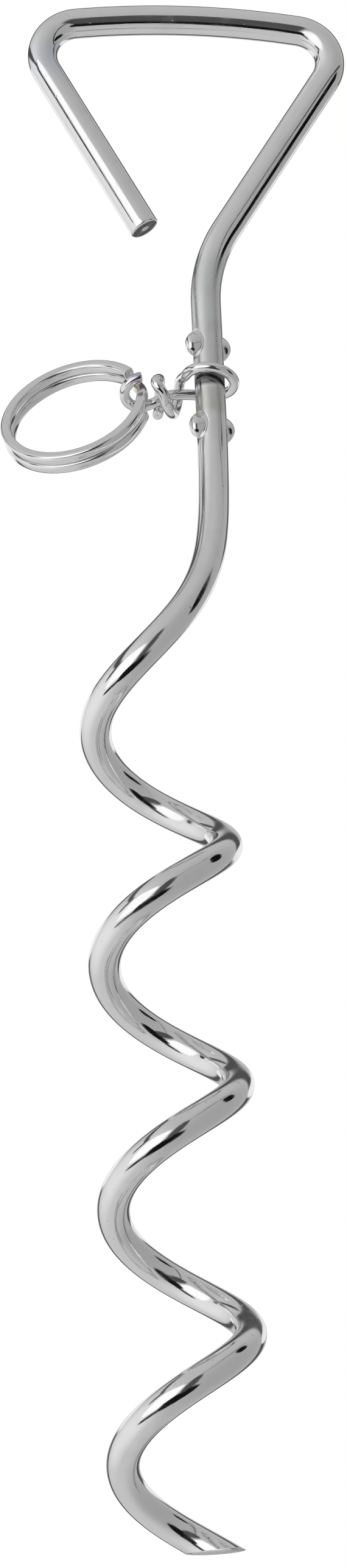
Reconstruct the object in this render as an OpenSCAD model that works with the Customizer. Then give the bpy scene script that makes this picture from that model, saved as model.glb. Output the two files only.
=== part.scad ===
// Spiral ground stake: one bent steel bar with a triangular handle, a stretch of straight
// shank with two pairs of pinched stop ears, and a corkscrew that winds into the soil.
// A wire swivel turns on the shank between the ears and carries a two-turn split ring.
// Frame: origin on the shank's axis at the ground line, +Z up, handle in the XZ plane.

/* [Bar] */
// Diameter of the bar
bar_d = 8; // [7:0.5:9]
// Height of the straight shank's top above the ground line
shank_top = 39.5; // [38:0.5:42]

/* [Handle] */
// Bend radius of the neck, on the bar's centreline
neck_r = 40; // [36:1:44]
// Angle that the neck turns away from the shank
neck_angle = 33; // [31:1:35]
// Straight length of the arm that the neck runs into
joined_arm = 52.8; // [50:0.2:56]
// Bend radius of both upper corners, on the centreline
corner_r = 10; // [9:0.5:12]
// Angle of the corner above the joined arm
joined_turn = 112.2; // [111:0.1:113]
// Radius of the grip bar's slight bow
grip_r = 230; // [220:5:260]
// Angle that the bowed grip bar turns through
grip_turn = 15.1; // [14:0.1:16]
// Angle of the corner above the free arm
free_turn = 113; // [112:0.5:114]
// Straight length of the free arm
free_arm = 53.6; // [45:0.2:55]

/* [Spiral] */
// Outer diameter of the spiral
spiral_d = 40; // [38:1:42]
// Rise of the spiral in one turn
spiral_pitch = 62; // [60:1:64]
// Distance from the shank's axis to the spiral's axis
spiral_offset = 17.5; // [16:0.5:18]
// Direction of the spiral's axis seen from the shank, from +X
spiral_azimuth = 173.7; // [170:0.1:180]
// Length of bar over which the straight shank eases into the spiral
lead_in = 88; // [86:1:90]
// Depth of the point's flat cut below the ground line
point_depth = 284.5; // [270:0.5:290]

/* [Stop ears] */
// Height of each ear along the shank
ear_h = 7.4; // [6.4:0.2:7.6]
// Width of an ear's leaf-shaped face
ear_w = 4; // [3.4:0.1:4.2]
// How far an ear stands out of the shank
ear_out = 2.5; // [2:0.1:2.8]
// Height of the lower pair's middle above the ground line
ear_low_z = 3.8; // [3.8:0.1:4]
// Height of the upper pair's middle above the ground line
ear_high_z = 27.2; // [27:0.1:28]
// Direction of the first ear of each pair, from +X
ear_azimuth = 206; // [200:1:212]
// Depth of the punched groove round each ear
groove_depth = 0.6; // [0.3:0.1:0.8]
// Width of the punched groove round each ear
groove_w = 1.1; // [0.8:0.1:1.4]

/* [Swivel] */
// Diameter of the swivel's wire
wire_d = 2.8; // [2.6:0.1:2.8]
// Inner diameter of the collar that turns on the shank
collar_bore = 10.2; // [10:0.1:10.4]
// Height of the collar's middle above the ground line
collar_z = 17.2; // [17:0.1:18]
// Tilt of the collar
collar_tilt = 13; // [12:1:14]
// Direction in which the collar is highest, from +X
collar_high = 225; // [220:1:230]

/* [Ring] */
// Outer diameter of the split ring
ring_d = 40; // [38:0.5:41]
// Diameter of the ring's wire
ring_wire_d = 2.9; // [2.6:0.1:2.9]
// Distance between the middles of the ring's two turns
ring_pitch = 2.96; // [2.96:0.01:3]
// Radius of the eye, on its wire's centreline
eye_r = 4.7; // [4.65:0.05:4.8]

/* [Hidden] */
$fn = 64;

bar_r = bar_d / 2;
wire_r = wire_d / 2;
steel = [0.78, 0.79, 0.80];
bright = [0.86, 0.86, 0.87];

// ---- vectors and paths ----

function unit(v) = v / norm(v);

// Turns v about the unit axis k by angle a.
function turned(v, k, a) = v * cos(a) + cross(k, v) * sin(a) + k * (k * v) * (1 - cos(a));

// Direction of a path at point i.
function heading(path, i) =
    unit(path[min(i + 1, len(path) - 1)] - path[max(i - 1, 0)]);

// A vector square to v.
function square_to(v) = unit(cross(v, abs(v[2]) < 0.8 ? [0, 0, 1] : [1, 0, 0]));

// Directions along a path; the ends take the given ones, so that neighbours share one cut.
function headings(path, from, to) = [
    for (i = [0 : len(path) - 1])
        i == 0 && from != undef ? from
        : i == len(path) - 1 && to != undef ? to : heading(path, i)
];

// One cross direction for each direction d of a path, carried along it without twist.
function carried(d) = [
    for (i = 0, n = square_to(d[0]); i < len(d);
         i = i + 1, n = unit(n - d[min(i, len(d) - 1)] * (n * d[min(i, len(d) - 1)]))) n
];

// Smooth curve through points p, with steps points to each stretch.
function through(p, steps) = [
    for (i = [1 : len(p) - 3], k = [0 : steps - 1]) let (t = k / steps)
        0.5 * (2 * p[i] + (p[i + 1] - p[i - 1]) * t
        + (2 * p[i - 1] - 5 * p[i] + 4 * p[i + 1] - p[i + 2]) * t * t
        + (3 * p[i] - p[i - 1] - 3 * p[i + 1] + p[i + 2]) * t * t * t),
    p[len(p) - 2]
];

// How far a section bulges at angle a: 1 all round for power 2, squarer for higher powers.
function bulge(a, power) = (abs(cos(a)) ^ power + abs(sin(a)) ^ power) ^ (-1 / power);

// A bar of radius r along a path, with flat ends square to from and to. Its section is round,
// or squarer with its flats towards side.
module round_bar(path, r, sides = 16, from = undef, to = undef, side = undef, power = 2) {
    n = len(path);
    d = headings(path, from, to);
    twistless = carried(d);
    points = [
        for (i = [0 : n - 1], k = [0 : sides - 1])
            let (across = side == undef ? twistless[i] : side)
            let (a = unit(across - d[i] * (across * d[i])), turn = 360 * k / sides)
            path[i] + turned(a, d[i], turn) * r * bulge(turn, power)
    ];
    walls = [
        for (i = [0 : n - 2], k = [0 : sides - 1])
            let (a = i * sides + k, b = i * sides + (k + 1) % sides)
            each [[a, a + sides, b], [b, a + sides, b + sides]]
    ];
    start = [[for (k = [0 : sides - 1]) k]];
    end = [[for (k = [sides - 1 : -1 : 0]) (n - 1) * sides + k]];
    polyhedron(points = points, faces = concat(walls, start, end), convexity = 10);
}

// ---- handle: straight stretches and bends in the XZ plane, walked up from the shank ----

// Each step of the walk is [x, z, heading], the place and direction where it ends.
function after_straight(s, l) = [s[0] + l * cos(s[2]), s[1] + l * sin(s[2]), s[2]];
function bend_middle(s, r, a) =
    [s[0] - sign(a) * r * sin(s[2]), s[1] + sign(a) * r * cos(s[2])];
function after_bend(s, r, a) = let (m = bend_middle(s, r, a), h = s[2] + a)
    [m[0] + sign(a) * r * sin(h), m[1] - sign(a) * r * cos(h), h];

neck_from = [0, shank_top, 90];
joined_from = after_bend(neck_from, neck_r, -neck_angle);
joined_corner_from = after_straight(joined_from, joined_arm);
grip_from = after_bend(joined_corner_from, corner_r, joined_turn);
free_corner_from = after_bend(grip_from, grip_r, grip_turn);
free_from = after_bend(free_corner_from, corner_r, free_turn);

// Straight bar from a step of the walk.
module straight_bar(s, l) {
    translate([s[0], 0, s[1]]) rotate([0, 90 - s[2], 0]) cylinder(r = bar_r, h = l);
}

// Bend of the bar from a step of the walk, turning by a.
module bent_bar(s, r, a) {
    m = bend_middle(s, r, a);
    from = s[2] - sign(a) * 90;
    translate([m[0], 0, m[1]]) rotate([90, 0, 0]) rotate([0, 0, min(from, from + a)])
        rotate_extrude(angle = abs(a)) translate([r, 0]) circle(r = bar_r);
}

module handle_free_arm() { color(steel) straight_bar(free_from, free_arm); }
module handle_free_corner() { color(steel) bent_bar(free_corner_from, corner_r, free_turn); }
module handle_grip_bar() { color(bright) bent_bar(grip_from, grip_r, grip_turn); }
module handle_joined_corner() {
    color(steel) bent_bar(joined_corner_from, corner_r, joined_turn);
}
module handle_joined_arm() { color(steel) straight_bar(joined_from, joined_arm); }
module handle_neck() { color(steel) bent_bar(neck_from, neck_r, -neck_angle); }

// ---- shank and stop ears ----

// Leaf outline, h high and w wide, from two equal arcs.
module leaf(h, w) {
    r = (h * h + w * w) / (4 * w);
    intersection_for (side = [-1, 1]) translate([side * (r - w / 2), 0]) circle(r = r);
}

// Leaf-shaped prism that stands out along azimuth a, from radius from_r to to_r.
module leaf_prism(a, z, h, w, from_r, to_r) {
    translate([0, 0, z]) rotate([0, 0, a]) translate([from_r, 0, 0])
        rotate([90, 0, 90]) linear_extrude(to_r - from_r) leaf(h, w);
}

// Ear: a leaf prism trimmed to a round back, sitting on the shank's own surface.
module stop_ear(a, z) {
    crown_r = ((ear_h / 2) ^ 2 + ear_out ^ 2) / (2 * ear_out);
    color(bright) difference() {
        intersection() {
            leaf_prism(a, z, ear_h, ear_w, 1, bar_r + ear_out);
            translate([0, 0, z]) rotate([0, 0, a]) translate([bar_r + ear_out - crown_r, 0, 0])
                rotate([90, 0, 0]) cylinder(r = crown_r, h = 2 * ear_w, center = true);
        }
        cylinder(r = bar_r, h = 2 * shank_top);
    }
}

// Trench that the punch leaves in the shank round an ear.
module punch_groove(a, z) {
    difference() {
        leaf_prism(a, z, ear_h, ear_w + 2 * groove_w, bar_r - groove_depth, bar_r + 1);
        leaf_prism(a, z, ear_h + 1, ear_w, 0, bar_r + 2);
    }
}

module shank() {
    color(steel) difference() {
        cylinder(r = bar_r, h = shank_top);
        for (z = [ear_low_z, ear_high_z], turn = [0, 180]) punch_groove(ear_azimuth + turn, z);
    }
}

module upper_left_ear() { stop_ear(ear_azimuth, ear_high_z); }
module upper_right_ear() { stop_ear(ear_azimuth + 180, ear_high_z); }
module lower_left_ear() { stop_ear(ear_azimuth, ear_low_z); }
module lower_right_ear() { stop_ear(ear_azimuth + 180, ear_low_z); }

// ---- spiral ----

spiral_r = spiral_d / 2 - bar_r;
slope = atan(spiral_pitch / (2 * PI * spiral_r));
spiral_axis = spiral_offset * [cos(spiral_azimuth), sin(spiral_azimuth)];
spiral_step = 2.75;

// The bar's slope eases from upright to the spiral's own over the lead-in, and its distance
// from the spiral's axis eases from the offset to the spiral's radius. Each row is
// [angle, distance, height], one for every spiral_step along the bar.
function ease(s) = max(0, 1 - s / lead_in);
function slope_at(s) = slope + (90 - slope) * ease(s);
function radius_at(s) = spiral_r + (spiral_offset - spiral_r) * ease(s);
steps_to_point = ceil(lead_in / spiral_step + point_depth / sin(slope) / spiral_step);
spiral_rows = [
    for (i = 0, a = spiral_azimuth + 180, z = 0; i <= steps_to_point;
         a = a - (180 / PI) * cos(slope_at((i + 0.5) * spiral_step)) * spiral_step
                 / radius_at((i + 0.5) * spiral_step),
         z = z - sin(slope_at((i + 0.5) * spiral_step)) * spiral_step, i = i + 1)
        [a, radius_at(i * spiral_step), z]
];
spiral_path = [
    for (q = spiral_rows)
        [spiral_axis[0] + q[1] * cos(q[0]), spiral_axis[1] + q[1] * sin(q[0]), q[2]]
];

// Number of rows above a depth.
function rows_above(depth) = len([for (q = spiral_rows) if (q[2] > -depth) q]);
lead_in_rows = ceil(lead_in / spiral_step);
turn_rows = round(2 * PI * spiral_r / cos(slope) / spiral_step);
point_rows = rows_above(point_depth) - round(turn_rows / 4);

// The stretch of the spiral between two rows.
module spiral_stretch(first, last) {
    round_bar([for (i = [first : last]) spiral_path[i]], bar_r,
        from = first == 0 ? [0, 0, -1] : heading(spiral_path, first),
        to = heading(spiral_path, last));
}

module spiral_lead_in() { color(steel) spiral_stretch(0, lead_in_rows); }
module spiral_turn_1() { color(steel) spiral_stretch(lead_in_rows, lead_in_rows + turn_rows); }
module spiral_turn_2() {
    color(steel) spiral_stretch(lead_in_rows + turn_rows, lead_in_rows + 2 * turn_rows);
}
module spiral_turn_3() { color(steel) spiral_stretch(lead_in_rows + 2 * turn_rows, point_rows); }

// The last stretch, cut off square to the stake's axis, which leaves a slanting wedge.
module spiral_point() {
    color(steel) difference() {
        spiral_stretch(point_rows, min(steps_to_point, rows_above(point_depth) + 6));
        translate([spiral_axis[0], spiral_axis[1], -point_depth - spiral_d])
            cube(2 * spiral_d, center = true);
    }
}

// ---- swivel: one wire, round the shank, along, and round the ring ----

collar_r = collar_bore / 2 + wire_r;
collar_from = -165;
collar_to = 70;
tilt_axis = [sin(collar_high), -cos(collar_high), 0];

// Point and direction on the collar's centreline at angle a.
function collar_at(a) =
    [0, 0, collar_z] + turned(collar_r * [cos(a), sin(a), 0], tilt_axis, collar_tilt);
function collar_heading(a) = turned([-sin(a), cos(a), 0], tilt_axis, collar_tilt);

// The eye stands round the ring's wire: its axis is the wire's own direction there.
eye_middle = [-17.9, -0.4, 14.4];
ring_normal = unit([-0.29, -0.83, 0.46]);
ring_out = unit(cross(cross(ring_normal, [0.94, -0.18, 0.27]), ring_normal));
eye_axis = cross(ring_normal, ring_out);
eye_from = 75;
eye_to = 268;

// Point and direction on the eye's centreline at angle a from the ring's outward direction.
function eye_at(a) = eye_middle + eye_r * (ring_out * cos(a) + ring_normal * sin(a));
function eye_heading(a) = ring_normal * cos(a) - ring_out * sin(a);

// Stem: from the eye's back to the back of the collar.
stem_points = [
    [-14.2, 2.9, 12.9], [-12.2, 3, 14.2], [-10, 3.7, 15.1], [-7.5, 4.8, 15.7],
    [-4, 6, 16.1], [-1, 6.8, 16.2]
];

// Wrap: from the collar's front, down behind the stem, under it, up in front and over it, and
// down behind it once more to the wire's cut end. The tie runs to the row above the stem.
wrap_points = [
    [-7.4, 3.2, 19.1], [-7.8, 7.4, 17.8], [-8.5, 8.3, 14.2], [-9.4, 5.4, 10.8],
    [-10.3, 2, 9.2], [-11.5, -1.8, 9.5], [-12.75, -5.2, 11.7], [-14.5, -6, 14.4],
    [-13.4, -3.2, 16.7], [-13.1, 1.5, 17.4], [-13.1, 5.6, 16.1], [-13.3, 6.7, 12.6],
    [-13.9, 4.6, 9.7]
];
wrap_last = len(wrap_points) - 1;
wrap_steps = 4;
wrap_from = -collar_heading(collar_from);
wrap_path = through(concat(
    [collar_at(collar_from) - wrap_from * 3, collar_at(collar_from)], wrap_points,
    [2 * wrap_points[wrap_last] - wrap_points[wrap_last - 1]]), wrap_steps);
over_stem = 10 * wrap_steps;

// The stretch of the wrap between two rows.
module wrap_stretch(first, last) {
    round_bar([for (i = [first : last]) wrap_path[i]], wire_r, 12,
        from = first == 0 ? wrap_from : heading(wrap_path, first),
        to = heading(wrap_path, last));
}

// Places a shape made about the Z axis from +X onto the axes x, y and their cross product.
module on_axes(at, x, y) {
    z = cross(x, y);
    multmatrix([
        [x[0], y[0], z[0], at[0]], [x[1], y[1], z[1], at[1]], [x[2], y[2], z[2], at[2]],
        [0, 0, 0, 1]
    ]) children();
}

module wire_arc(r, from, to) {
    rotate([0, 0, from]) rotate_extrude(angle = to - from) translate([r, 0]) circle(r = wire_r);
}

module swivel_collar() {
    color(bright) translate([0, 0, collar_z]) rotate(a = collar_tilt, v = tilt_axis)
        wire_arc(collar_r, collar_from, collar_to);
}

module swivel_stem() {
    start = eye_at(eye_to);
    on = eye_heading(eye_to);
    end = collar_at(collar_to);
    along = collar_heading(collar_to);
    color(bright) round_bar(through(concat(
        [start - on * 2, start], stem_points, [end + along * 1.2, end, end - along * 4]), 4),
        wire_r, 12, from = on, to = -along);
}

module swivel_tie() { color(bright) wrap_stretch(0, over_stem); }

module swivel_eye() {
    color(bright) on_axes(eye_middle, ring_out, ring_normal) wire_arc(eye_r, eye_from, eye_to);
}

module swivel_tail() { color(bright) wrap_stretch(over_stem, len(wrap_path) - 1); }

// ---- split ring: two turns side by side, changing lanes once ----

ring_r = (ring_d - ring_wire_d) / 2;
lane_half = 20;
ring_power = 3.2;
ring_middle = eye_middle - ring_out * ring_r;

// Distance of the wire from the ring's middle plane at turn angle a, from 0 to 720. It changes
// lanes inside the eye, so a single wire passes there between the two cut ends.
function lane(a) = let (t = min(1, max(0, (a - 360 + lane_half) / (2 * lane_half))))
    ring_pitch * (0.5 - t * t * (3 - 2 * t));
function ring_at(a) = ring_middle + ring_normal * lane(a)
    + ring_r * (ring_out * cos(a) + cross(ring_normal, ring_out) * sin(a));

module split_ring() {
    end_gap = lane_half + 4;
    color(bright)
        round_bar([for (a = [end_gap : 6 : 720 - end_gap]) ring_at(a)], ring_wire_d / 2, 16,
            side = ring_normal, power = ring_power);
}

handle_free_arm();
handle_free_corner();
handle_grip_bar();
handle_joined_corner();
handle_joined_arm();
handle_neck();
shank();
upper_left_ear();
upper_right_ear();
lower_left_ear();
lower_right_ear();
spiral_lead_in();
spiral_turn_1();
spiral_turn_2();
spiral_turn_3();
spiral_point();
swivel_collar();
swivel_stem();
swivel_tie();
swivel_eye();
swivel_tail();
split_ring();
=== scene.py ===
import math

import bpy
import numpy as np
from mathutils import Matrix, Vector


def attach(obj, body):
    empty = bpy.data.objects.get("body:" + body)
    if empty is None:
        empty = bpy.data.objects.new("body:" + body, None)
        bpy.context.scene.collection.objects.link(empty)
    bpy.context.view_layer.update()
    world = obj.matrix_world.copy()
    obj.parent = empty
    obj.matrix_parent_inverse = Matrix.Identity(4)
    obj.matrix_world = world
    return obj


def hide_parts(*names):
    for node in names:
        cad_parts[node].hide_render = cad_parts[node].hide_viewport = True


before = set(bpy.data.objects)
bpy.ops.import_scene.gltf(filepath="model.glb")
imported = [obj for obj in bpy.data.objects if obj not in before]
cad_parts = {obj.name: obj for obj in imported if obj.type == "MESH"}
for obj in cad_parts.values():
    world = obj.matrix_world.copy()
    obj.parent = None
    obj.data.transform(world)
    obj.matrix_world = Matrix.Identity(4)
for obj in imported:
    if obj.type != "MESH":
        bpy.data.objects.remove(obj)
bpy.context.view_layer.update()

mm = 0.001
print("frame loaded")


# Length 1 along the last axis: v over its own length.
def unit(v):
    v = np.asarray(v, float)
    return v / np.linalg.norm(v, axis=-1, keepdims=True)


# Rodrigues: v cos a + (k x v) sin a + k (k . v)(1 - cos a), for an angle or a column of angles.
def turned(v, k, a):
    along = k * np.sum(v * k, -1, keepdims=True)
    return v * np.cos(a) + np.cross(k, v) * np.sin(a) + along * (1 - np.cos(a))


# Catmull-Rom: the usual cubic of four neighbouring points, for every stretch and every t at once.
def smoothCurve(points, steps):
    p = np.asarray(points, float)
    t = (np.arange(steps) / steps)[None, :, None]
    a, b, c, d = (p[i:len(p) - 3 + i, None] for i in range(4))
    curve = 0.5 * (2 * b + (c - a) * t + (2 * a - 5 * b + 4 * c - d) * t ** 2
                   + (3 * b - a - 3 * c + d) * t ** 3)
    return np.vstack([curve.reshape(-1, 3), p[-2]])


# Angles all the way round, evenly spaced: 2 pi i / count.
def allRound(count):
    return np.arange(count) / count * 2 * math.pi


# Distance walked along a path up to each of its points.
def walked(path):
    return np.concatenate([[0], np.cumsum(np.linalg.norm(np.diff(path, axis=0), axis=1))])


# A path's points read at distances s, by straight interpolation of each coordinate.
def readPath(path, s, at):
    return np.stack([np.interp(at, s, path[:, i]) for i in range(3)], -1)


endValues = {"discRows": np.array([0.35, 0.75]), "rimSteps": 5, "rimClear": 1.2}


# Cut end: rows on a flat disc, then a rounded rim with inset e(1 - cos f) and radius r - e + e sin f.
def cutEnd(radius, rim):
    f = np.linspace(0, math.pi / 2, endValues["rimSteps"])
    inset = np.concatenate([0 * endValues["discRows"], rim * (1 - np.cos(f))])
    size = np.concatenate([endValues["discRows"] * (radius - rim), radius - rim + rim * np.sin(f)])
    return inset, size


# Rows of a tube: distances along the path and radii, with a cut end at both ends.
def tubeRows(length, radius, rim, between):
    inset, size = cutEnd(radius, rim)
    clear = rim * endValues["rimClear"]
    inner = between[(between > clear) & (between < length - clear)]
    at = np.concatenate([inset, inner, length - inset[::-1]])
    return at, np.concatenate([size, np.full(len(inner), radius), size[::-1]])


# Side directions of a path, from any first one square to it, carried from row to row by taking out
# the part along the next heading.
def carriedSides(heading):
    sides = np.zeros_like(heading)
    anyWay = [0.3, 0.2, 1.0]
    last = np.cross(heading[0], anyWay)
    for i, h in enumerate(heading):
        last = unit(last - h * (last @ h))
        sides[i] = last
    return sides


# A closed mesh from a grid of rows by columns in millimetres, with a pole at each end.
# straight holds a place for each point of the grid, which the material's pattern follows.
def skin(name, grid, straight, poles, material):
    rows, cols = grid.shape[:2]
    points = np.vstack([grid.reshape(-1, 3), poles]) * mm
    i, j = np.meshgrid(np.arange(rows - 1), np.arange(cols), indexing="ij")
    k = (j + 1) % cols
    quads = np.stack([i * cols + j, i * cols + k, (i + 1) * cols + k, (i + 1) * cols + j], -1)
    c = np.arange(cols)
    n = (c + 1) % cols
    first = np.stack([np.full(cols, rows * cols), n, c], -1)
    last = np.stack([np.full(cols, rows * cols + 1), (rows - 1) * cols + c, (rows - 1) * cols + n], -1)
    mesh = bpy.data.meshes.new(name)
    mesh.from_pydata(points, [], quads.reshape(-1, 4).tolist() + first.tolist() + last.tolist())
    mesh.polygons.foreach_set("use_smooth", np.ones(len(mesh.polygons), bool))
    pulled = np.vstack([straight.reshape(-1, 3), straight[0].mean(0), straight[-1].mean(0)])
    mesh.attributes.new("pulledStraight", "FLOAT_VECTOR", "POINT").data.foreach_set(
        "vector", pulled.astype(np.float32).ravel())
    mesh.materials.append(material)
    mesh.update()
    piece = bpy.data.objects.new(name, mesh)
    bpy.context.scene.collection.objects.link(piece)
    return piece


# Grid of a tube: middle + radius (side cos a + cross(heading, side) sin a).
def tubeGrid(middle, heading, side, radius, cols):
    a = allRound(cols)[None, :, None]
    radius = np.broadcast_to(np.asarray(radius, float).reshape(len(middle), -1), (len(middle), cols))
    across = side[:, None] * np.cos(a) + np.cross(heading, side)[:, None] * np.sin(a)
    return middle[:, None] + across * radius[..., None]


# A tube whose path has been pulled straight: (radius cos a, radius sin a, distance along the path),
# with the full radius on every row, those of the cut ends too.
def pulledStraight(at, cols, radius):
    a = allRound(cols)
    at = at.reshape(len(at), -1) * np.ones(cols)
    one = np.ones_like(at)
    return np.stack([radius * np.cos(a) * one, radius * np.sin(a) * one, at], -1)


# Materials.

# Puts a node into a tree, sets its values and links what it is given.
def put(tree, kind, values=None, **settings):
    node = tree.nodes.new(kind)
    for key, value in settings.items():
        setattr(node, key, value)
    for key, value in (values or {}).items():
        if isinstance(value, bpy.types.NodeSocket):
            tree.links.new(value, node.inputs[key])
        else:
            node.inputs[key].default_value = value
    return node


# One step of arithmetic on a and b, and on c where the operation takes three.
def sums(tree, how, a, b=0.5, c=0.5):
    return put(tree, "ShaderNodeMath", {0: a, 1: b, 2: c}, operation=how).outputs[0]


# Smooth step of a value from low to high, put out between two levels.
def eased(tree, value, low, high, first=0.0, last=1.0):
    return put(tree, "ShaderNodeMapRange", {"Value": value, "From Min": low, "From Max": high,
               "To Min": first, "To Max": last}, interpolation_type="SMOOTHSTEP").outputs[0]


# An empty shader group with its inputs and outputs: the tree, what is given and what is put out.
def newGroup(name, inputs, outputs):
    tree = bpy.data.node_groups.new(name, "ShaderNodeTree")
    for label, kind, value in inputs:
        socket = tree.interface.new_socket(label, in_out="INPUT", socket_type=kind)
        if value is not None:
            socket.default_value = value
    for label, kind in outputs:
        tree.interface.new_socket(label, in_out="OUTPUT", socket_type=kind)
    return tree, tree.nodes.new("NodeGroupInput").outputs, tree.nodes.new("NodeGroupOutput").inputs


wearValues = {"grainScale": 3.2, "stretch": (4.0, 4.0, 0.12), "cloudScale": 0.16, "pitScale": 0.33,
              "pitsAbove": 0.72, "pitEdge": (0.05, 0.11), "smudgeEdge": (0.48, 0.72),
              "streakEdge": (0.42, 0.72), "pitRough": 0.25, "pitDeep": -0.8, "pitDark": 0.45,
              "smudgeDark": 0.6, "spotScale": 0.5, "spotWander": 1.6}


# Plating wear, on the bar pulled straight: fine grain, long draw streaks, scattered pits, smudges.
def platingWear(v):
    tree, given, out = newGroup("platingWear", [
        ("Place", "NodeSocketVector", None), ("Grain", "NodeSocketFloat", 0.05),
        ("Streaks", "NodeSocketFloat", 0.05), ("Pits", "NodeSocketFloat", 0.5),
        ("Smudge", "NodeSocketFloat", 0.05)],
        [("Roughness", "NodeSocketFloat"), ("Height", "NodeSocketFloat"), ("Shade", "NodeSocketFloat")])
    place = given["Place"]
    grain = put(tree, "ShaderNodeTexNoise", {"Vector": place, "Scale": v["grainScale"], "Detail": 3,
                "Roughness": 0.6})
    long = put(tree, "ShaderNodeVectorMath", {0: place, 1: v["stretch"]}, operation="MULTIPLY")
    streak = put(tree, "ShaderNodeTexNoise", {"Vector": long.outputs[0], "Scale": 1.0, "Detail": 2})
    cloud = put(tree, "ShaderNodeTexNoise", {"Vector": place, "Scale": v["cloudScale"], "Detail": 3,
                "Roughness": 0.55})
    spots = put(tree, "ShaderNodeTexVoronoi", {"Vector": place, "Scale": v["pitScale"], "Randomness": 1.0})
    rare = sums(tree, "GREATER_THAN", put(tree, "ShaderNodeSeparateColor",
                {"Color": spots.outputs["Color"]}).outputs[0], v["pitsAbove"])
    pit = sums(tree, "MULTIPLY", eased(tree, spots.outputs["Distance"], *v["pitEdge"], 1, 0), rare)
    pit = sums(tree, "MULTIPLY", pit, given["Pits"])
    smudge = sums(tree, "MULTIPLY", eased(tree, cloud.outputs["Fac"], *v["smudgeEdge"]), given["Smudge"])
    fine = sums(tree, "MULTIPLY", eased(tree, streak.outputs["Fac"], *v["streakEdge"]), given["Streaks"])
    even = sums(tree, "MULTIPLY", grain.outputs["Fac"], given["Grain"])
    even = sums(tree, "MULTIPLY_ADD", pit, v["pitRough"], even)
    tree.links.new(sums(tree, "ADD", sums(tree, "ADD", smudge, fine), even), out["Roughness"])
    furrow = sums(tree, "MULTIPLY", fine, -1.0)
    lift = sums(tree, "MULTIPLY_ADD", grain.outputs["Fac"], given["Grain"], furrow)
    tree.links.new(sums(tree, "MULTIPLY_ADD", pit, v["pitDeep"], lift), out["Height"])
    dark = sums(tree, "MULTIPLY", smudge, v["smudgeDark"])
    tree.links.new(sums(tree, "MULTIPLY_ADD", pit, v["pitDark"], dark), out["Shade"])
    return tree


# Spot: 1 within the inner distance of a place in millimetres, easing to 0 at the outer one, with
# the distance wandering by half of spotWander either way.
def spotMask(v):
    tree, given, out = newGroup("spotMask", [
        ("Middle", "NodeSocketVector", (0, 0, 0)), ("Inner", "NodeSocketFloat", 1.0),
        ("Outer", "NodeSocketFloat", 3.0)], [("Mask", "NodeSocketFloat")])
    place = put(tree, "ShaderNodeTexCoord").outputs["Object"]
    scaled = put(tree, "ShaderNodeVectorMath", {0: place, 3: 1 / mm}, operation="SCALE").outputs[0]
    wander = put(tree, "ShaderNodeTexNoise", {"Vector": scaled, "Scale": v["spotScale"], "Detail": 2})
    away = put(tree, "ShaderNodeVectorMath", {0: scaled, 1: given["Middle"]}, operation="DISTANCE")
    far = sums(tree, "MULTIPLY_ADD", wander.outputs["Fac"], v["spotWander"], away.outputs["Value"])
    step = put(tree, "ShaderNodeMapRange", {"Value": sums(tree, "SUBTRACT", far, v["spotWander"] / 2),
               "From Min": given["Inner"], "From Max": given["Outer"], "To Min": 1.0, "To Max": 0.0},
               interpolation_type="SMOOTHSTEP")
    tree.links.new(step.outputs[0], out["Mask"])
    return tree


groups = {"wear": platingWear(wearValues), "spot": spotMask(wearValues)}


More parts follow.
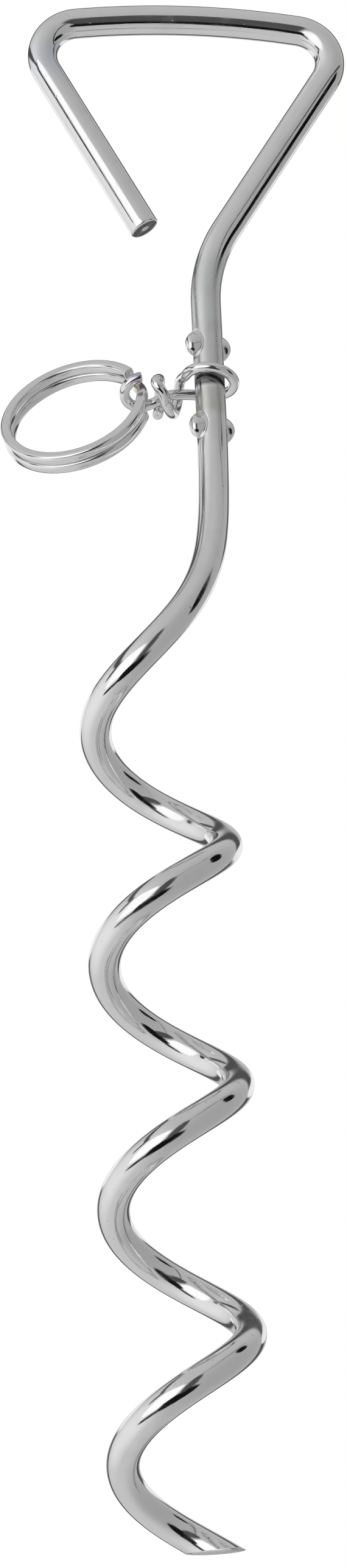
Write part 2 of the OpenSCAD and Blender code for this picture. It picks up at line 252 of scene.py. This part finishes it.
# A plated metal: its colour mixed towards its shade by the wear, then bands and tints laid over it.
# Each band is (low, high, softness, added roughness, tone, amount) by height in millimetres, and
# each tint is (middle, inner, outer, tone, amount). It is rougher near the middle line of the piece
# pulled straight, which is the middle of each cut end.
def plated(name, look, tints=(), bands=()):
    material = bpy.data.materials.new(name)
    material.use_nodes = True
    tree = material.node_tree
    shader = tree.nodes["Principled BSDF"]
    shader.inputs["Metallic"].default_value = 1.0
    place = put(tree, "ShaderNodeAttribute", attribute_name="pulledStraight").outputs["Vector"]
    wear = put(tree, "ShaderNodeGroup", {}, node_tree=groups["wear"])
    tree.links.new(place, wear.inputs["Place"])
    for key in ("Grain", "Streaks", "Pits", "Smudge"):
        wear.inputs[key].default_value = look[key]
    rough = sums(tree, "ADD", wear.outputs["Roughness"], look["Roughness"])
    colour = put(tree, "ShaderNodeMix", {"Factor": wear.outputs["Shade"], "A": look["Colour"],
                 "B": look["Shade"]}, data_type="RGBA").outputs["Result"]
    flat = put(tree, "ShaderNodeVectorMath", {0: place, 1: (1, 1, 0)}, operation="MULTIPLY").outputs[0]
    inward = put(tree, "ShaderNodeVectorMath", {0: flat}, operation="LENGTH").outputs["Value"]
    cutFace = eased(tree, inward, look["Radius"] * look["CutInner"], look["Radius"] * look["CutOuter"], 1, 0)
    rough = sums(tree, "MULTIPLY_ADD", cutFace, look["CutRoughness"], rough)
    height = put(tree, "ShaderNodeTexCoord").outputs["Object"]
    z = put(tree, "ShaderNodeSeparateXYZ", {0: height}).outputs["Z"]
    for low, high, soft, extra, tone, amount in bands:
        inside = sums(tree, "MULTIPLY", eased(tree, z, (low - soft) * mm, (low + soft) * mm),
                      eased(tree, z, (high - soft) * mm, (high + soft) * mm, 1, 0))
        rough = sums(tree, "MULTIPLY_ADD", inside, extra, rough)
        colour = put(tree, "ShaderNodeMix", {"Factor": sums(tree, "MULTIPLY", inside, amount),
                     "A": colour, "B": tone}, data_type="RGBA").outputs["Result"]
    for middle, inner, outer, tone, amount in tints:
        spot = put(tree, "ShaderNodeGroup", {}, node_tree=groups["spot"])
        spot.inputs["Middle"].default_value = middle
        spot.inputs["Inner"].default_value = inner
        spot.inputs["Outer"].default_value = outer
        colour = put(tree, "ShaderNodeMix", {"Factor": sums(tree, "MULTIPLY", spot.outputs[0], amount),
                     "A": colour, "B": tone}, data_type="RGBA").outputs["Result"]
    tree.links.new(colour, shader.inputs["Base Color"])
    tree.links.new(rough, shader.inputs["Roughness"])
    bump = put(tree, "ShaderNodeBump", {"Height": wear.outputs["Height"], "Strength": look["Bump"],
               "Distance": look["BumpDepth"]})
    tree.links.new(bump.outputs[0], shader.inputs["Normal"])
    return material


chromeLook = {"Colour": (0.82, 0.82, 0.825, 1), "Shade": (0.30, 0.30, 0.31, 1), "Roughness": 0.045,
              "Grain": 0.05, "Streaks": 0.06, "Pits": 0.6, "Smudge": 0.10, "Bump": 0.25, "Radius": 4.0,
              "CutRoughness": 0.6, "CutInner": 0.80, "CutOuter": 0.86, "BumpDepth": 0.0002}
barChrome = plated("barChrome", chromeLook,
                   tints=[((-38, 0, 112), 2, 9, (0.62, 0.68, 0.80, 1), 0.5)],
                   bands=[(31, 52, 2.5, 0.16, (0.70, 0.71, 0.72, 1), 0.5),
                          (20, 33, 1.5, 0.10, (0.66, 0.66, 0.66, 1), 0.5),
                          # Painted shade: a dark band round the shank just under the swivel collar, standing
                          # in for the collar's contact shadow.
                          (14.8, 18.0, 0.6, 0.0, (0.12, 0.12, 0.12, 1), 0.85),
                          (7, 14, 1.5, 0.12, (0.56, 0.58, 0.52, 1), 0.6)])
earChrome = plated("earChrome", {**chromeLook, "Roughness": 0.10, "Pits": 0.3, "Radius": 1.0})
wireChrome = plated("wireChrome", {**chromeLook, "Roughness": 0.04, "Radius": 1.4},
                    tints=[((-17.5, -3.5, 12), 1.2, 4.2, (0.55, 0.36, 0.22, 1), 0.8),
                           ((-19.5, -4.5, 17), 1.0, 3.0, (0.50, 0.44, 0.60, 1), 0.7)])
ringChrome = plated("ringChrome", {**chromeLook, "Roughness": 0.07, "Radius": 1.45},
                    tints=[((-20.5, 0, 15), 1.0, 4.5, (0.78, 0.66, 0.32, 1), 0.75),
                           ((-18.5, -3, 17.5), 0.8, 3.2, (0.56, 0.47, 0.62, 1), 0.65)])
print("materials made")

# The bar: handle, shank and spiral in one length.

barValues = {"radius": 4.0, "shankTop": 39.5, "sides": 96, "rim": 0.45,
             "neckRadius": 40.0, "neckTurn": 33.0, "joinedArm": 52.8, "cornerRadius": 10.0,
             "joinedTurn": 112.2, "gripRadius": 230.0, "gripTurn": 15.1, "freeTurn": 113.0, "freeArm": 53.6,
             "spiralRadius": 16.0, "pitch": 62.0, "offset": 17.5, "azimuth": 173.7, "leadIn": 88.0,
             "depth": 284.5, "rowEvery": 0.9, "neckEvery": 0.8, "armEvery": 2, "cornerEvery": 0.5,
             "gripEvery": 1.5, "walkStep": 0.1, "longest": 560, "pastPoint": 12, "beforeCut": 2.0,
             "cutRows": 15, "earEvery": 0.25, "earReach": 4.2, "shankFrom": 0.2, "samePoint": 1e-4,
             "rimClear": 1.3, "nearShank": 1, "belowShank": 2}
earValues = {"height": 7.4, "width": 4.0, "out": 2.5, "low": 3.8, "high": 27.2, "azimuth": 206.0,
             "grooveDepth": 0.55, "grooveWidth": 1.1, "grooveOut": 0.4, "grooveHalf": 0.75,
             "groovePower": 0.7, "fadeOver": 0.7, "seat": 1.2, "under": 0.8, "bluntness": 0.72,
             "rows": 44, "sides": 48}


# Handle in the XZ plane, from the shank's top up: each step is an arc about its own middle
# (middle + r (sin h, -cos h) as the heading h turns) or a straight x + q cos h, z + q sin h.
def handleWalk(v):
    x, z, h, parts = 0.0, v["shankTop"], math.pi / 2, []
    walk = [(v["neckRadius"], -v["neckTurn"], v["neckEvery"]), (0, v["joinedArm"], v["armEvery"]),
            (v["cornerRadius"], v["joinedTurn"], v["cornerEvery"]),
            (v["gripRadius"], v["gripTurn"], v["gripEvery"]),
            (v["cornerRadius"], v["freeTurn"], v["cornerEvery"]), (0, v["freeArm"], v["armEvery"])]
    for r, amount, every in walk:
        if r:
            side, amount = math.copysign(1, amount), math.radians(amount)
            q = np.linspace(0, amount, round(abs(amount) * r / every) + 1)
            px, pz = x - side * r * math.sin(h), z + side * r * math.cos(h)
            px, pz = px + side * r * np.sin(h + q), pz - side * r * np.cos(h + q)
            h += amount
        else:
            q = np.linspace(0, amount, round(amount / every) + 1)
            px, pz = x + q * math.cos(h), z + q * math.sin(h)
        parts.append(np.stack([px, 0 * q, pz], 1)[1:])
        x, z = px[-1], pz[-1]
    return np.vstack(parts)


# Spiral: height falls by sin(slope) and the angle by cos(slope)/distance for each step, while
# slope and distance ease in a straight line from the shank's own to the spiral's over the lead-in.
def spiralWalk(v):
    step = v["walkStep"]
    slope = math.atan(v["pitch"] / (2 * math.pi * v["spiralRadius"]))
    s = np.arange(0, v["longest"], step)
    ease = np.clip(1 - (s + step / 2) / v["leadIn"], 0, None)
    slopes = slope + (math.pi / 2 - slope) * ease
    away = v["spiralRadius"] + (v["offset"] - v["spiralRadius"]) * ease
    turn = np.concatenate([[0], np.cumsum(np.cos(slopes) / away * step)[:-1]])
    fall = np.concatenate([[0], np.cumsum(np.sin(slopes) * step)[:-1]])
    a = math.radians(v["azimuth"])
    around = a + math.pi - turn
    away = v["spiralRadius"] + (v["offset"] - v["spiralRadius"]) * np.clip(1 - s / v["leadIn"], 0, None)
    return s, np.stack([v["offset"] * math.cos(a) + away * np.cos(around),
                        v["offset"] * math.sin(a) + away * np.sin(around), -fall], 1)


# Half the width of a leaf of two equal arcs, at height z from its middle.
def leafHalf(z, high, wide):
    r = (high ** 2 + wide ** 2) / (4 * wide)
    return np.sqrt(np.clip(r ** 2 - np.clip(np.abs(z), 0, high / 2) ** 2, 0, None)) - (r - wide / 2)


# Depth of the punched groove: a rounded trough that follows each leaf's outline from outside.
def grooveDepth(around, z, v, radius):
    depth = np.zeros_like(z)
    for middle in (v["low"], v["high"]):
        for turn in (0, math.pi):
            apart = (around - math.radians(v["azimuth"]) - turn + math.pi) % (2 * math.pi) - math.pi
            out = np.abs(apart) * radius - leafHalf(z - middle, v["height"], v["width"])
            beyond = np.abs(out - v["grooveWidth"] * v["grooveOut"])
            across = np.clip(1 - beyond / (v["grooveWidth"] * v["grooveHalf"]), 0, 1)
            fade = np.clip((v["height"] / 2 + v["fadeOver"] / 2 - np.abs(z - middle)) / v["fadeOver"], 0, 1)
            depth = np.maximum(depth, v["grooveDepth"] * across ** v["groovePower"] * fade)
    return depth


# Bar: middle + radius (side cos a + cross(heading, side) sin a), where side is +Y squared to the
# heading, and radius is less by the grooves. Rows lie closest at the ears and the corners.
def makeBar(v, ears):
    s, spiral = spiralWalk(v)
    down = spiral[:, 2] > -v["depth"] - v["pastPoint"]
    s, spiral = s[down], spiral[down]
    handle = handleWalk(v)[::-1]
    reach = v["earReach"]
    fine = [np.arange(ears[k] - reach, ears[k] + reach, v["earEvery"]) for k in ("low", "high")]
    coarse = np.arange(0, v["shankTop"], v["rowEvery"])
    shankZ = np.unique(np.round(np.concatenate([*fine, coarse]), 3))
    shankZ = shankZ[shankZ > v["shankFrom"]][::-1]
    dense = np.vstack([handle, np.stack([0 * shankZ, 0 * shankZ, shankZ], 1), spiral])
    apart = np.linalg.norm(np.diff(dense, axis=0), axis=1)
    dense = dense[np.concatenate([[True], apart > v["samePoint"]])]
    along = walked(dense)
    heading = unit(np.gradient(dense, along, axis=0))
    total = along[-1]
    spiralFrom = total - (s[-1] - s[0])
    rows = along[along < spiralFrom]
    rows = rows[rows > v["rim"] * v["rimClear"]]
    spiralRows = np.arange(spiralFrom, total, v["rowEvery"])

    # The end follows the cut: each column stops where its own height reaches the cut's plane.
    cols = v["sides"]
    a = allRound(cols)
    side = unit(np.array([0, 1.0, 0]) - heading * heading[:, 1:2])
    across = np.cross(heading, side)
    height = dense[:, 2:3] + v["radius"] * (side[:, 2:3] * np.cos(a) + across[:, 2:3] * np.sin(a))
    passed = height < -v["depth"]
    stop = along[np.argmax(passed, 0)]
    lastRow = stop.min() - v["beforeCut"]
    spiralRows = spiralRows[spiralRows < lastRow]
    inset, size = cutEnd(v["radius"], v["rim"])
    body = np.concatenate([inset, rows, spiralRows])
    radius = np.concatenate([size, np.full(len(rows) + len(spiralRows), v["radius"])])
    ramp = np.linspace(0, 1, v["cutRows"] + 1)[1:, None]
    at = np.vstack([body[:, None] * np.ones(cols), lastRow + (stop[None] - lastRow) * ramp])
    radius = np.concatenate([radius, np.full(v["cutRows"], v["radius"])])[:, None] * np.ones(cols)

    middle, forward = readPath(dense, along, at), unit(readPath(heading, along, at))
    sideways = unit(np.array([0, 1.0, 0]) - forward * forward[..., 1:2])
    out = sideways * np.cos(a)[None, :, None] + np.cross(forward, sideways) * np.sin(a)[None, :, None]
    around = np.arctan2(out[..., 1], out[..., 0])
    # Only rows on the straight shank, or just past its ends, get grooves.
    x, z = middle[..., 0], middle[..., 2]
    onShank = (z < v["shankTop"] + v["nearShank"]) & (z > -v["belowShank"]) & (np.abs(x) < v["nearShank"])
    radius = radius - grooveDepth(around, z, ears, v["radius"]) * onShank
    grid = middle + out * radius[..., None]
    grid[-1, :, 2] = -v["depth"]
    poles = np.array([dense[0], grid[-1].mean(0)])
    return skin("stakeBar", grid, pulledStraight(at, cols, v["radius"]), poles, barChrome)


stakeBar = makeBar(barValues, earValues)
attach(stakeBar, "stake")
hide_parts("handle_free_arm", "handle_free_corner", "handle_grip_bar", "handle_joined_corner",
            "handle_joined_arm", "handle_neck", "shank", "spiral_lead_in", "spiral_turn_1",
            "spiral_turn_2", "spiral_turn_3", "spiral_point")
print("bar made", len(stakeBar.data.polygons))


# A sine or cosine made blunter: its sign times its size to a power below 1.
def blunted(value, power):
    return np.sign(value) * np.abs(value) ** power


# Ear: at each height a superellipse, half a leaf wide and a crown's arc out, from inside the shank.
def makeEar(name, turn, middle, v, radius):
    up = np.sin(np.linspace(-1, 1, v["rows"] + 2)[1:-1] * math.pi / 2) * v["height"] / 2
    crown = ((v["height"] / 2) ** 2 + v["out"] ** 2) / (2 * v["out"])
    seat = radius - v["seat"]
    reach = np.sqrt(crown ** 2 - up ** 2) - crown + v["out"] + v["seat"]
    a = allRound(v["sides"])
    across = blunted(np.cos(a), v["bluntness"]) * leafHalf(up, v["height"], v["width"])[:, None]
    deep = np.where(np.sin(a) > 0, reach[:, None], v["under"])
    out = seat + blunted(np.sin(a), v["bluntness"]) * deep
    east, north = math.cos(math.radians(turn)), math.sin(math.radians(turn))
    place = np.stack([out * east - across * north, out * north + across * east,
                      middle + up[:, None] * np.ones(len(a))], -1)
    tips = np.array([[seat * east, seat * north, middle + q * v["height"] / 2] for q in (-1, 1)])
    return skin(name, place, place, tips, earChrome)


for name, node, turn, level in (("upperLeftEar", "upper_left_ear", 0, "high"),
                                ("upperRightEar", "upper_right_ear", 180, "high"),
                                ("lowerLeftEar", "lower_left_ear", 0, "low"),
                                ("lowerRightEar", "lower_right_ear", 180, "low")):
    ear = makeEar(name, earValues["azimuth"] + turn, earValues[level], earValues, barValues["radius"])
    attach(ear, "stake")
    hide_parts(node)
print("ears made")

# The swivel: one wire.

swivelValues = {"radius": 1.4, "bore": 10.2, "level": 17.2, "tilt": 13.0, "highSide": 225.0,
                "from": -165.0, "to": 70.0, "sides": 32, "rim": 0.3, "every": 0.35,
                "turnEvery": 2.5, "curveSteps": 12, "leaveEye": 2, "nearCollar": 1.2, "joinCollar": 4,
                "leaveCollar": 3, "smoothing": np.array([1, 2, 3, 2, 1]), "nudge": 0.01}
eyeValues = {"middle": (-17.9, -0.4, 14.4), "radius": 4.7, "from": 75.0, "to": 268.0}
wireRoute = {
    "stem": [(-14.2, 2.9, 12.9), (-12.2, 3, 14.2), (-10, 3.7, 15.1), (-7.5, 4.8, 15.7), (-4, 6, 16.1),
             (-1, 6.8, 16.2)],
    "wrap": [(-7.4, 3.2, 19.1), (-7.8, 7.4, 17.8), (-8.5, 8.3, 14.2), (-9.4, 5.4, 10.8), (-10.3, 2, 9.2),
             (-11.5, -1.8, 9.5), (-12.75, -5.2, 11.7), (-14.5, -6, 14.4), (-13.4, -3.2, 16.7),
             (-13.1, 1.5, 17.4), (-13.1, 5.6, 16.1), (-13.3, 6.7, 12.6), (-13.9, 4.6, 9.7)]}
ringNormal = unit([-0.29, -0.83, 0.46])
ringOut = unit(np.cross(np.cross(ringNormal, [0.94, -0.18, 0.27]), ringNormal))


# Swivel: from its cut end round the eye, a circle in the ring's own cross plane, by the stem to the
# collar, a circle tilted about a level axis, and by the wrap to the other cut end. The points beyond
# the ends of each smooth curve give it its direction there. Last, each point but the two at each
# end becomes the weighted mean of five.
def makeSwivel(v, eye, route):
    tiltAxis = np.array([math.sin(math.radians(v["highSide"])), -math.cos(math.radians(v["highSide"])), 0])
    reach = v["bore"] / 2 + v["radius"]

    # Collar: (reach cos a, reach sin a, 0), tilted and raised to its level.
    def collarAt(a):
        a = np.radians(np.atleast_1d(a))[:, None]
        flat = reach * np.hstack([np.cos(a), np.sin(a), 0 * a])
        return np.array([0, 0, v["level"]]) + turned(flat, tiltAxis, math.radians(v["tilt"]))

    # Eye: middle + radius (ringOut cos a + ringNormal sin a).
    def eyeAt(a):
        a = np.radians(np.atleast_1d(a))[:, None]
        return np.array(eye["middle"]) + eye["radius"] * (ringOut * np.cos(a) + ringNormal * np.sin(a))

    # Heading: from a point of the curve towards the one a nudge further round.
    def headingOf(curve, a):
        return unit(curve(a + v["nudge"])[0] - curve(a)[0])

    collar = collarAt(np.arange(v["to"], v["from"] - v["turnEvery"] / 2, -v["turnEvery"]))
    loop = eyeAt(np.arange(eye["from"], eye["to"] + v["turnEvery"] / 2, v["turnEvery"]))
    intoCollar, outOfCollar = -headingOf(collarAt, v["to"]), -headingOf(collarAt, v["from"])
    outOfEye = headingOf(eyeAt, eye["to"])
    stem, wrap = (np.array(route[k], float) for k in ("stem", "wrap"))
    stemPoints = np.vstack([loop[-1] - outOfEye * v["leaveEye"], loop[-1], stem,
                            collar[0] - intoCollar * v["nearCollar"], collar[0],
                            collar[0] + intoCollar * v["joinCollar"]])
    wrapPoints = np.vstack([collar[-1] - outOfCollar * v["leaveCollar"], collar[-1], wrap,
                            2 * wrap[-1] - wrap[-2]])
    stemCurve, wrapCurve = (smoothCurve(k, v["curveSteps"]) for k in (stemPoints, wrapPoints))
    path = np.vstack([loop, stemCurve[1:], collar[1:], wrapCurve[1:]])
    s = walked(path)
    even = np.arange(0, s[-1], v["every"])
    path = readPath(path, s, even)
    weights = v["smoothing"] / v["smoothing"].sum()
    inner = np.stack([np.convolve(path[:, i], weights, "valid") for i in range(3)], 1)
    path = np.vstack([path[:2], inner, path[-2:]])
    s = walked(path)
    at, size = tubeRows(s[-1], v["radius"], v["rim"], s)
    heading = unit(np.gradient(path, s, axis=0))
    forward = unit(readPath(heading, s, at))
    grid = tubeGrid(readPath(path, s, at), forward, carriedSides(forward), size, v["sides"])
    straight = pulledStraight(at, v["sides"], v["radius"])
    return skin("swivelWire", grid, straight, path[[0, -1]], wireChrome)


swivelWire = makeSwivel(swivelValues, eyeValues, wireRoute)
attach(swivelWire, "swivel")
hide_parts("swivel_collar", "swivel_stem", "swivel_tie", "swivel_eye", "swivel_tail")
print("swivel made", len(swivelWire.data.polygons))

# The split ring.

ringValues = {"diameter": 40.0, "wire": 2.9, "pitch": 2.96, "changeHalf": 20.0, "squareness": 3.2,
              "sides": 32, "rim": 0.35, "turns": 2, "freeGap": 4, "every": 1.0}


# Ring: a circle in the plane of ringOut and its cross direction, shifted along the ring's
# normal by pitch (1/2 - 3t^2 + 2t^3), where t runs 0 to 1 over the lane change. Its section is
# a superellipse: radius (|cos|^p + |sin|^p)^(-1/p), with p the squareness.
def makeRing(v, eye):
    reach = (v["diameter"] - v["wire"]) / 2
    middle = np.array(eye["middle"]) - ringOut * reach
    start = v["changeHalf"] + v["freeGap"]
    a = np.arange(start, 360 * v["turns"] - start + v["every"] / 2, v["every"])
    t = np.clip((a - 360 + v["changeHalf"]) / (2 * v["changeHalf"]), 0, 1)
    lane = v["pitch"] * (0.5 - t * t * (3 - 2 * t))
    turn = np.radians(a)[:, None]
    path = middle + ringNormal * lane[:, None] + reach * (
        ringOut * np.cos(turn) + np.cross(ringNormal, ringOut) * np.sin(turn))
    s = walked(path)
    at, size = tubeRows(s[-1], v["wire"] / 2, v["rim"], s)
    heading = unit(readPath(np.gradient(path, s, axis=0), s, at))
    side = unit(ringNormal - heading * (heading @ ringNormal)[:, None])
    around = allRound(v["sides"])
    p = v["squareness"]
    bulge = (np.abs(np.cos(around)) ** p + np.abs(np.sin(around)) ** p) ** (-1 / p)
    grid = tubeGrid(readPath(path, s, at), heading, side, size[:, None] * bulge, v["sides"])
    return skin("splitRing", grid, pulledStraight(at, v["sides"], v["wire"] / 2), path[[0, -1]], ringChrome)


splitRing = makeRing(ringValues, eyeValues)
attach(splitRing, "ring")
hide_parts("split_ring")
print("ring made", len(splitRing.data.polygons))

# Camera, and the soft studio round it.

viewValues = {"yaw": 4.0, "pitch": -18.51, "roll": 2.823, "distance": 954.13, "focal": 6185.9,
              "aimLeft": 92.1, "aimUp": 2.0, "longSide": 2576, "target": (0, 0, -94.9), "sensor": 36.0}


# Right, up and towards-the-viewer directions from yaw a, pitch e and roll r, by turning the axes.
def viewAxes(v):
    a, e, r = (math.radians(v[k]) for k in ("yaw", "pitch", "roll"))
    right = np.array([math.cos(a), -math.sin(a), 0])
    up = np.array([math.sin(a) * math.sin(e), math.cos(a) * math.sin(e), math.cos(e)])
    back = np.array([-math.sin(a) * math.cos(e), -math.cos(a) * math.cos(e), math.sin(e)])
    return right * math.cos(r) - up * math.sin(r), right * math.sin(r) + up * math.cos(r), back


# Camera: the target plus the towards-the-viewer direction times the distance, looking a
# little to the left of the target and above it.
def makeCamera(v):
    right, up, back = viewAxes(v)
    place = np.array(v["target"]) + back * v["distance"]
    look = unit(-back - right * v["aimLeft"] / v["focal"] + up * v["aimUp"] / v["focal"])
    side = unit(np.cross(look, up))
    turn = Matrix(np.stack([side, np.cross(side, look), -look], 1).tolist()).to_4x4()
    data = bpy.data.cameras.new("camera")
    data.sensor_width = v["sensor"]
    data.lens = v["sensor"] * v["focal"] / v["longSide"]
    data.clip_start, data.clip_end = 0.01, 50
    camera = bpy.data.objects.new("camera", data)
    bpy.context.scene.collection.objects.link(camera)
    camera.matrix_world = Matrix.Translation(Vector((place * mm).tolist())) @ turn
    bpy.context.scene.camera = camera


makeCamera(viewValues)

# Each card: its middle and its two half sides in millimetres as (right, up, towards the viewer),
# its brightness and how soft its edge is. Cards show only in reflections.
cardValues = {
    "windowCard": [(-560, 290, 810), (380, 0, 295), (30, 440, -70), 1.2, 0.12],
    "stripCard": [(190, 290, 220), (120, 0, -350), (26, 26, 8), 0.015, 0.3],
    "shankStripCard": [(290, 165, 21), (9, 0, -62), (0, 115, 0), 0.004, 0.25],
    "viewerCard": [(60, -190, 800), (430, 0, 10), (0, 225, 0), 0.006, 0.3],
    "footCard": [(-430, -300, 760), (370, 20, 170), (0, 85, 10), 0.02, 0.35],
    "mastCard": [(110, 330, 800), (190, 0, 10), (20, 420, 0), 0.08, 0.4],
    "leftCard": [(-483, 250, 130), (20, 0, -60), (30, 120, 10), 0.03, 0.4],
    "leftStripCard": [(-355, 300, -140), (125, 0, -290), (20, 34, 8), 0.08, 0.4],
    "backLeftCard": [(-520, 60, -760), (300, 0, -230), (0, 190, 0), 1.0, 0.5],
    "backRightCard": [(430, -60, -800), (300, 0, 170), (0, 200, 0), 0.95, 0.5],
}

# A card with a hard edge has nearly square corners, and a soft one has rounder ones.
cardEdge = {"hardBelow": 0.2, "squareCorner": 6, "roundCorner": 2.5}


# Card: middle + u wide + v high, with its glow faded out as |u|^power + |v|^power nears 1.
def makeCard(name, middle, halfWide, halfHigh, glow, soft):
    axes = np.array(viewAxes(viewValues))
    at, wide, high = (np.array(k, float) @ axes for k in (middle, halfWide, halfHigh))
    at = at + np.array(viewValues["target"])
    corners = np.array([at + i * wide + j * high for i, j in ((-1, -1), (1, -1), (1, 1), (-1, 1))]) * mm
    mesh = bpy.data.meshes.new(name)
    mesh.from_pydata(corners.tolist(), [], [(0, 1, 2, 3)])
    mesh.uv_layers.new(name="card").data.foreach_set("uv", [0, 0, 1, 0, 1, 1, 0, 1])
    material = bpy.data.materials.new(name)
    material.use_nodes = True
    tree = material.node_tree
    tree.nodes.clear()
    uv = put(tree, "ShaderNodeSeparateXYZ", {0: put(tree, "ShaderNodeTexCoord").outputs["UV"]})
    u, v = (sums(tree, "ABSOLUTE", sums(tree, "MULTIPLY_ADD", uv.outputs[k], 2.0, -1.0)) for k in (0, 1))
    power = cardEdge["squareCorner"] if soft < cardEdge["hardBelow"] else cardEdge["roundCorner"]
    edge = sums(tree, "ADD", sums(tree, "POWER", u, power), sums(tree, "POWER", v, power))
    mask = eased(tree, edge, 1 - soft, 1.0, 1, 0)
    light = put(tree, "ShaderNodeEmission", {"Color": (1, 1, 1, 1), "Strength": glow})
    clear = put(tree, "ShaderNodeBsdfTransparent")
    mix = put(tree, "ShaderNodeMixShader", {0: mask, 1: clear.outputs[0], 2: light.outputs[0]})
    put(tree, "ShaderNodeOutputMaterial", {"Surface": mix.outputs[0]})
    mesh.materials.append(material)
    card = bpy.data.objects.new(name, mesh)
    bpy.context.scene.collection.objects.link(card)
    card.visible_camera = card.visible_diffuse = card.visible_shadow = card.visible_transmission = False


for name, values in cardValues.items():
    makeCard(name, *values)

roomValues = {"backdrop": 1.0, "base": 0.56, "lowLeft": 0.10, "left": 0.26, "leftFrom": 0.3, "right": 0.14,
              "rimDark": 0.85, "rimAt": -0.80, "rimHalf": 0.13, "rimCore": 0.4, "forward": 0.3}
floorValues = {"height": -0.6, "size": 12.0, "tone": (0.86, 0.86, 0.86, 1), "roughness": 0.9}
lampValues = {"size": 1.6, "energy": 26, "place": (-0.8, -0.9, 1.6), "towards": (0.8, 0.9, -1.9)}


# How far a reflected direction points along another one: their dot product.
def pointing(tree, way, along):
    return put(tree, "ShaderNodeVectorMath", {0: way, 1: tuple(unit(along))},
               operation="DOT_PRODUCT").outputs["Value"]


# Room: the camera sees plain white. Reflections see base + low left share - right share + left
# share, times a dark ring round the far side, where the share towards the viewer is near rimAt.
def makeRoom(v):
    world = bpy.data.worlds.new("room")
    bpy.context.scene.world = world
    world.use_nodes = True
    tree = world.node_tree
    tree.nodes.clear()
    right, up, back = viewAxes(viewValues)
    way = put(tree, "ShaderNodeTexCoord").outputs["Generated"]
    lowLeft = eased(tree, pointing(tree, way, -right - up), 0, 1)
    rightSide = eased(tree, pointing(tree, way, right + back * v["forward"]), 0, 1)
    leftSide = eased(tree, pointing(tree, way, back * v["forward"] - right), v["leftFrom"], 1)
    level = sums(tree, "MULTIPLY_ADD", lowLeft, v["lowLeft"], v["base"])
    level = sums(tree, "MULTIPLY_ADD", rightSide, -v["right"], level)
    level = sums(tree, "MULTIPLY_ADD", leftSide, v["left"], level)
    off = sums(tree, "ABSOLUTE", sums(tree, "SUBTRACT", pointing(tree, way, back), v["rimAt"]))
    rim = eased(tree, off, v["rimHalf"] * v["rimCore"], v["rimHalf"], 1 - v["rimDark"], 1)
    level = sums(tree, "MULTIPLY", level, rim)
    seen = put(tree, "ShaderNodeBackground", {"Color": (1, 1, 1, 1), "Strength": v["backdrop"]})
    glow = put(tree, "ShaderNodeBackground", {"Color": (1, 1, 1, 1), "Strength": level})
    fromCamera = put(tree, "ShaderNodeLightPath").outputs["Is Camera Ray"]
    mix = put(tree, "ShaderNodeMixShader", {0: fromCamera, 1: glow.outputs[0], 2: seen.outputs[0]})
    put(tree, "ShaderNodeOutputWorld", {"Surface": mix.outputs[0]})


# Floor: a pale matt square at its height, which doesn't show in reflections.
def makeFloor(v):
    mesh = bpy.data.meshes.new("floor")
    half = v["size"] / 2
    corners = [(x * half, y * half, v["height"]) for x, y in ((-1, -1), (1, -1), (1, 1), (-1, 1))]
    mesh.from_pydata(corners, [], [(0, 1, 2, 3)])
    pale = bpy.data.materials.new("paleFloor")
    pale.use_nodes = True
    shader = pale.node_tree.nodes["Principled BSDF"]
    shader.inputs["Base Color"].default_value = v["tone"]
    shader.inputs["Roughness"].default_value = v["roughness"]
    mesh.materials.append(pale)
    floor = bpy.data.objects.new("floor", mesh)
    bpy.context.scene.collection.objects.link(floor)
    floor.visible_glossy = False


# Lamp: one soft square light above, in front and to the left, turned to look along its direction.
# It doesn't show in reflections either.
def makeLamp(v):
    light = bpy.data.lights.new("softLamp", "AREA")
    light.size, light.energy = v["size"], v["energy"]
    lamp = bpy.data.objects.new("softLamp", light)
    bpy.context.scene.collection.objects.link(lamp)
    lamp.location = v["place"]
    lamp.rotation_euler = Vector(v["towards"]).to_track_quat("-Z", "Y").to_euler()
    lamp.visible_glossy = False


makeRoom(roomValues)
makeFloor(floorValues)
makeLamp(lampValues)
bpy.context.scene.view_settings.view_transform = "Standard"
print("studio made")
